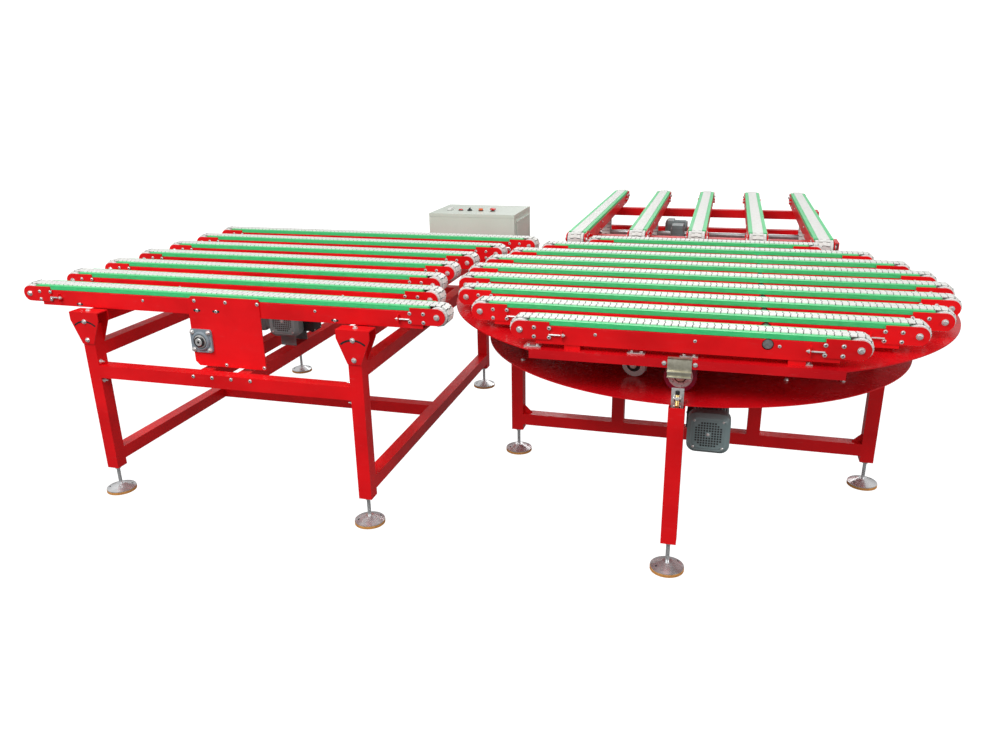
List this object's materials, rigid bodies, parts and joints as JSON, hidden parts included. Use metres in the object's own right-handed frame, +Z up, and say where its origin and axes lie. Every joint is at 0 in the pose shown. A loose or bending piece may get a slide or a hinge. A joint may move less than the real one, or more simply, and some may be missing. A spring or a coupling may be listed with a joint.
{
  "type": "slat chain conveyor",
  "caption": "Powered slat chain line: multi-strand infeed conveyor, rotating round transfer table and right-angle outfeed on tube stands.",
  "frame": {"origin": "on the floor, in the middle of the rectangle that the whole line covers", "axes": "+X along the infeed towards the round table, +Y along the outfeed away from the table, +Z up"},
  "size_m": [4.1448, 4.2878, 1.105],
  "materials": {
    "bearing_grey": "grey painted cast iron",
    "black_plastic": "black moulded plastic",
    "button_orange": "lit orange cap",
    "cabinet_grey": "light grey powder coat, fine texture",
    "crimson_tyre": "cast polyurethane tyre, satin",
    "drive_tyre": "black rubber tyre on a steel shaft",
    "green_plastic": "machined low-friction plastic, lightly polished by the chain",
    "lamp_red": "clear red lens",
    "latch_white": "white moulded plastic",
    "motor_grey": "grey-green cast housing, semi-gloss",
    "orange_rubber": "orange rubber pad, matt",
    "plated_steel": "bright plated steel",
    "red_paint": "smooth gloss paint over fabricated steel",
    "sensor_steel": "zinc plated angle",
    "stop_red": "red mushroom cap",
    "turned_steel": "turned bright steel",
    "white_slats": "moulded acetal slats, satin",
    "white_wheel": "moulded nylon wheel, satin",
    "zinc_steel": "zinc plated pressed steel"
  },
  "bodies": {
    "turn_drive_wheel": {"turn_drive_wheel": "drive_tyre"},
    "emergency_stop": {"emergency_stop": "stop_red"},
    "table_right_wheels_1": {"table_right_wheels_1": "white_wheel"},
    "outfeed_head_wheels_3": {"outfeed_head_wheels_3": "white_wheel"},
    "table_left_wheels_2": {"table_left_wheels_2": "white_wheel"},
    "infeed_drive_shaft": {"infeed_drive_shaft": "turned_steel"},
    "cabinet_door": {"cabinet_door": "cabinet_grey", "pilot_lamp": "lamp_red"},
    "table_right_wheels_5": {"table_right_wheels_5": "white_wheel"},
    "outfeed_head_wheels_1": {"outfeed_head_wheels_1": "white_wheel"},
    "latch_handle": {"latch_handle": "latch_white"},
    "table_right_wheels_4": {"table_right_wheels_4": "white_wheel"},
    "outfeed_tail_wheels": {"outfeed_tail_wheels": "white_wheel"},
    "infeed_tail_wheels": {"infeed_tail_wheels": "white_wheel"},
    "table_left_wheels_1": {"table_left_wheels_1": "white_wheel"},
    "selector_switch": {"selector_switch": "black_plastic"},
    "caster_wheel_3": {"caster_wheel_3": "crimson_tyre"},
    "infeed_head_wheels_3": {"infeed_head_wheels_3": "white_wheel"},
    "infeed_head_wheels_2": {"infeed_head_wheels_2": "white_wheel"},
    "push_button": {"push_button": "button_orange"},
    "caster_wheel_4": {"caster_wheel_4": "crimson_tyre"},
    "caster_wheel_1": {"caster_wheel_1": "crimson_tyre"},
    "table_left_wheels_4": {"table_left_wheels_4": "white_wheel"},
    "infeed_head_wheels_4": {"infeed_head_wheels_4": "white_wheel"},
    "outfeed_head_wheels_2": {"outfeed_head_wheels_2": "white_wheel"},
    "table_right_wheels_2": {"table_right_wheels_2": "white_wheel"},
    "table_drive_shaft": {"table_drive_shaft": "turned_steel"},
    "outfeed_drive_shaft": {"outfeed_drive_shaft": "turned_steel"},
    "table_right_wheels_3": {"table_right_wheels_3": "white_wheel"},
    "table_left_wheels_3": {"table_left_wheels_3": "white_wheel"},
    "infeed_head_wheels_1": {"infeed_head_wheels_1": "white_wheel"},
    "caster_wheel_2": {"caster_wheel_2": "crimson_tyre"},
    "table_left_wheels_5": {"table_left_wheels_5": "white_wheel"},
    "table": {"caster_forks": "zinc_steel", "table_beams": "red_paint", "table_guide_strips": "green_plastic", "table_nose_axles": "turned_steel", "table_nose_plates": "red_paint", "table_plate": "red_paint", "table_slat_chains": "white_slats", "table_supports": "red_paint"},
    "stand": {"cabinet_box": "cabinet_grey", "drive_plates": "red_paint", "fan_brackets": "red_paint", "flange_bearings": "bearing_grey", "foot_rubbers": "orange_rubber", "foot_screws": "plated_steel", "gearmotors": "motor_grey", "guide_strips": "green_plastic", "nose_axles": "turned_steel", "nose_plates": "red_paint", "pivot_post": "turned_steel", "slat_chains": "white_slats", "stand_legs": "red_paint", "stand_rails": "red_paint", "strand_beams": "red_paint", "table_base": "red_paint", "track_disc": "red_paint", "turn_gearmotor": "motor_grey", "turn_sensor": "sensor_steel"}
  },
  "joints": [
    {"name": "table_turn", "type": "hinge", "parent": "stand", "child": "table", "pos_m": [0.9575, -1.116, 0.883], "axis": [0, 0, 1], "range_deg": [0, 90]},
    {"name": "infeed_drive_shaft_spin", "type": "hinge", "parent": "stand", "child": "infeed_drive_shaft", "pos_m": [-1.12913, -1.116, 0.785], "axis": [0, 1, 0], "continuous": true},
    {"name": "outfeed_drive_shaft_spin", "type": "hinge", "parent": "stand", "child": "outfeed_drive_shaft", "pos_m": [0.9185, 1.22263, 0.785], "axis": [1, 0, 0], "continuous": true},
    {"name": "table_drive_shaft_spin", "type": "hinge", "parent": "table", "child": "table_drive_shaft", "pos_m": [1.2575, -1.116, 0.955], "axis": [0, 1, 0], "continuous": true},
    {"name": "infeed_tail_wheels_spin", "type": "hinge", "parent": "stand", "child": "infeed_tail_wheels", "pos_m": [-2.0281, -1.116, 0.955], "axis": [0, 1, 0], "continuous": true},
    {"name": "infeed_head_wheels_1_spin", "type": "hinge", "parent": "stand", "child": "infeed_head_wheels_1", "pos_m": [-0.01613, -1.116, 0.955], "axis": [0, 1, 0], "continuous": true},
    {"name": "infeed_head_wheels_2_spin", "type": "hinge", "parent": "stand", "child": "infeed_head_wheels_2", "pos_m": [-0.14172, -1.116, 0.955], "axis": [0, 1, 0], "continuous": true},
    {"name": "infeed_head_wheels_3_spin", "type": "hinge", "parent": "stand", "child": "infeed_head_wheels_3", "pos_m": [-0.22512, -1.116, 0.955], "axis": [0, 1, 0], "continuous": true},
    {"name": "infeed_head_wheels_4_spin", "type": "hinge", "parent": "stand", "child": "infeed_head_wheels_4", "pos_m": [-0.24415, -1.116, 0.955], "axis": [0, 1, 0], "continuous": true},
    {"name": "outfeed_tail_wheels_spin", "type": "hinge", "parent": "stand", "child": "outfeed_tail_wheels", "pos_m": [0.9185, 2.0996, 0.955], "axis": [1, 0, 0], "continuous": true},
    {"name": "outfeed_head_wheels_1_spin", "type": "hinge", "parent": "stand", "child": "outfeed_head_wheels_1", "pos_m": [0.9185, -0.08755, 0.955], "axis": [1, 0, 0], "continuous": true},
    {"name": "outfeed_head_wheels_2_spin", "type": "hinge", "parent": "stand", "child": "outfeed_head_wheels_2", "pos_m": [0.9185, 0.05698, 0.955], "axis": [1, 0, 0], "continuous": true},
    {"name": "outfeed_head_wheels_3_spin", "type": "hinge", "parent": "stand", "child": "outfeed_head_wheels_3", "pos_m": [0.9185, 0.08565, 0.955], "axis": [1, 0, 0], "continuous": true},
    {"name": "table_left_wheels_1_spin", "type": "hinge", "parent": "table", "child": "table_left_wheels_1", "pos_m": [0.35052, -1.116, 0.955], "axis": [0, 1, 0], "continuous": true},
    {"name": "table_right_wheels_1_spin", "type": "hinge", "parent": "table", "child": "table_right_wheels_1", "pos_m": [1.56448, -1.116, 0.955], "axis": [0, 1, 0], "continuous": true},
    {"name": "table_left_wheels_2_spin", "type": "hinge", "parent": "table", "child": "table_left_wheels_2", "pos_m": [0.12552, -1.116, 0.955], "axis": [0, 1, 0], "continuous": true},
    {"name": "table_right_wheels_2_spin", "type": "hinge", "parent": "table", "child": "table_right_wheels_2", "pos_m": [1.78948, -1.116, 0.955], "axis": [0, 1, 0], "continuous": true},
    {"name": "table_left_wheels_3_spin", "type": "hinge", "parent": "table", "child": "table_left_wheels_3", "pos_m": [-0.00486, -1.116, 0.955], "axis": [0, 1, 0], "continuous": true},
    {"name": "table_right_wheels_3_spin", "type": "hinge", "parent": "table", "child": "table_right_wheels_3", "pos_m": [1.91986, -1.116, 0.955], "axis": [0, 1, 0], "continuous": true},
    {"name": "table_left_wheels_4_spin", "type": "hinge", "parent": "table", "child": "table_left_wheels_4", "pos_m": [-0.07555, -1.116, 0.955], "axis": [0, 1, 0], "continuous": true},
    {"name": "table_right_wheels_4_spin", "type": "hinge", "parent": "table", "child": "table_right_wheels_4", "pos_m": [1.99055, -1.116, 0.955], "axis": [0, 1, 0], "continuous": true},
    {"name": "table_left_wheels_5_spin", "type": "hinge", "parent": "table", "child": "table_left_wheels_5", "pos_m": [-0.0981, -1.116, 0.955], "axis": [0, 1, 0], "continuous": true},
    {"name": "table_right_wheels_5_spin", "type": "hinge", "parent": "table", "child": "table_right_wheels_5", "pos_m": [2.0131, -1.116, 0.955], "axis": [0, 1, 0], "continuous": true},
    {"name": "caster_wheel_1_spin", "type": "hinge", "parent": "table", "child": "caster_wheel_1", "pos_m": [1.7595, -1.116, 0.7708], "axis": [1, 0, 0], "continuous": true},
    {"name": "caster_wheel_2_spin", "type": "hinge", "parent": "table", "child": "caster_wheel_2", "pos_m": [0.9575, -0.314, 0.7708], "axis": [0, 1, 0], "continuous": true},
    {"name": "caster_wheel_3_spin", "type": "hinge", "parent": "table", "child": "caster_wheel_3", "pos_m": [0.1555, -1.116, 0.7708], "axis": [-1, 0, 0], "continuous": true},
    {"name": "caster_wheel_4_spin", "type": "hinge", "parent": "table", "child": "caster_wheel_4", "pos_m": [0.9575, -1.918, 0.7708], "axis": [0, -1, 0], "continuous": true},
    {"name": "turn_drive_wheel_spin", "type": "hinge", "parent": "stand", "child": "turn_drive_wheel", "pos_m": [1.0775, -1.63254, 0.858], "axis": [0, 0, 1], "continuous": true},
    {"name": "cabinet_door_hinge", "type": "hinge", "parent": "stand", "child": "cabinet_door", "pos_m": [-0.1825, 0.144, 1.065], "axis": [0, 1, 0], "range_deg": [0, 110]},
    {"name": "latch_turn", "type": "hinge", "parent": "cabinet_door", "child": "latch_handle", "pos_m": [-0.6525, 0.084, 1.085], "axis": [0, 0, 1], "range_deg": [0, 90]},
    {"name": "selector_turn", "type": "hinge", "parent": "cabinet_door", "child": "selector_switch", "pos_m": [-0.5175, 0.084, 1.085], "axis": [0, 0, 1], "range_deg": [-45, 45]},
    {"name": "push_button_press", "type": "slide", "parent": "cabinet_door", "child": "push_button", "axis": [0, 0, -1], "range_m": [0, 0.005], "stiffness_N_per_m": 400},
    {"name": "emergency_stop_press", "type": "slide", "parent": "cabinet_door", "child": "emergency_stop", "axis": [0, 0, -1], "range_m": [0, 0.005], "stiffness_N_per_m": 600}
  ],
  "couplings": [
    {"joint": "infeed_tail_wheels_spin", "follows": "infeed_drive_shaft_spin", "ratio": 1},
    {"joint": "infeed_head_wheels_1_spin", "follows": "infeed_drive_shaft_spin", "ratio": 1},
    {"joint": "infeed_head_wheels_2_spin", "follows": "infeed_drive_shaft_spin", "ratio": 1},
    {"joint": "infeed_head_wheels_3_spin", "follows": "infeed_drive_shaft_spin", "ratio": 1},
    {"joint": "infeed_head_wheels_4_spin", "follows": "infeed_drive_shaft_spin", "ratio": 1},
    {"joint": "outfeed_tail_wheels_spin", "follows": "outfeed_drive_shaft_spin", "ratio": 1},
    {"joint": "outfeed_head_wheels_1_spin", "follows": "outfeed_drive_shaft_spin", "ratio": 1},
    {"joint": "outfeed_head_wheels_2_spin", "follows": "outfeed_drive_shaft_spin", "ratio": 1},
    {"joint": "outfeed_head_wheels_3_spin", "follows": "outfeed_drive_shaft_spin", "ratio": 1},
    {"joint": "table_left_wheels_1_spin", "follows": "table_drive_shaft_spin", "ratio": 1},
    {"joint": "table_right_wheels_1_spin", "follows": "table_drive_shaft_spin", "ratio": 1},
    {"joint": "table_left_wheels_2_spin", "follows": "table_drive_shaft_spin", "ratio": 1},
    {"joint": "table_right_wheels_2_spin", "follows": "table_drive_shaft_spin", "ratio": 1},
    {"joint": "table_left_wheels_3_spin", "follows": "table_drive_shaft_spin", "ratio": 1},
    {"joint": "table_right_wheels_3_spin", "follows": "table_drive_shaft_spin", "ratio": 1},
    {"joint": "table_left_wheels_4_spin", "follows": "table_drive_shaft_spin", "ratio": 1},
    {"joint": "table_right_wheels_4_spin", "follows": "table_drive_shaft_spin", "ratio": 1},
    {"joint": "table_left_wheels_5_spin", "follows": "table_drive_shaft_spin", "ratio": 1},
    {"joint": "table_right_wheels_5_spin", "follows": "table_drive_shaft_spin", "ratio": 1},
    {"joint": "caster_wheel_1_spin", "follows": "table_turn", "ratio": -12.832},
    {"joint": "caster_wheel_2_spin", "follows": "table_turn", "ratio": -12.832},
    {"joint": "caster_wheel_3_spin", "follows": "table_turn", "ratio": -12.832},
    {"joint": "caster_wheel_4_spin", "follows": "table_turn", "ratio": -12.832},
    {"joint": "turn_drive_wheel_spin", "follows": "table_turn", "ratio": -7.8333}
  ]
}
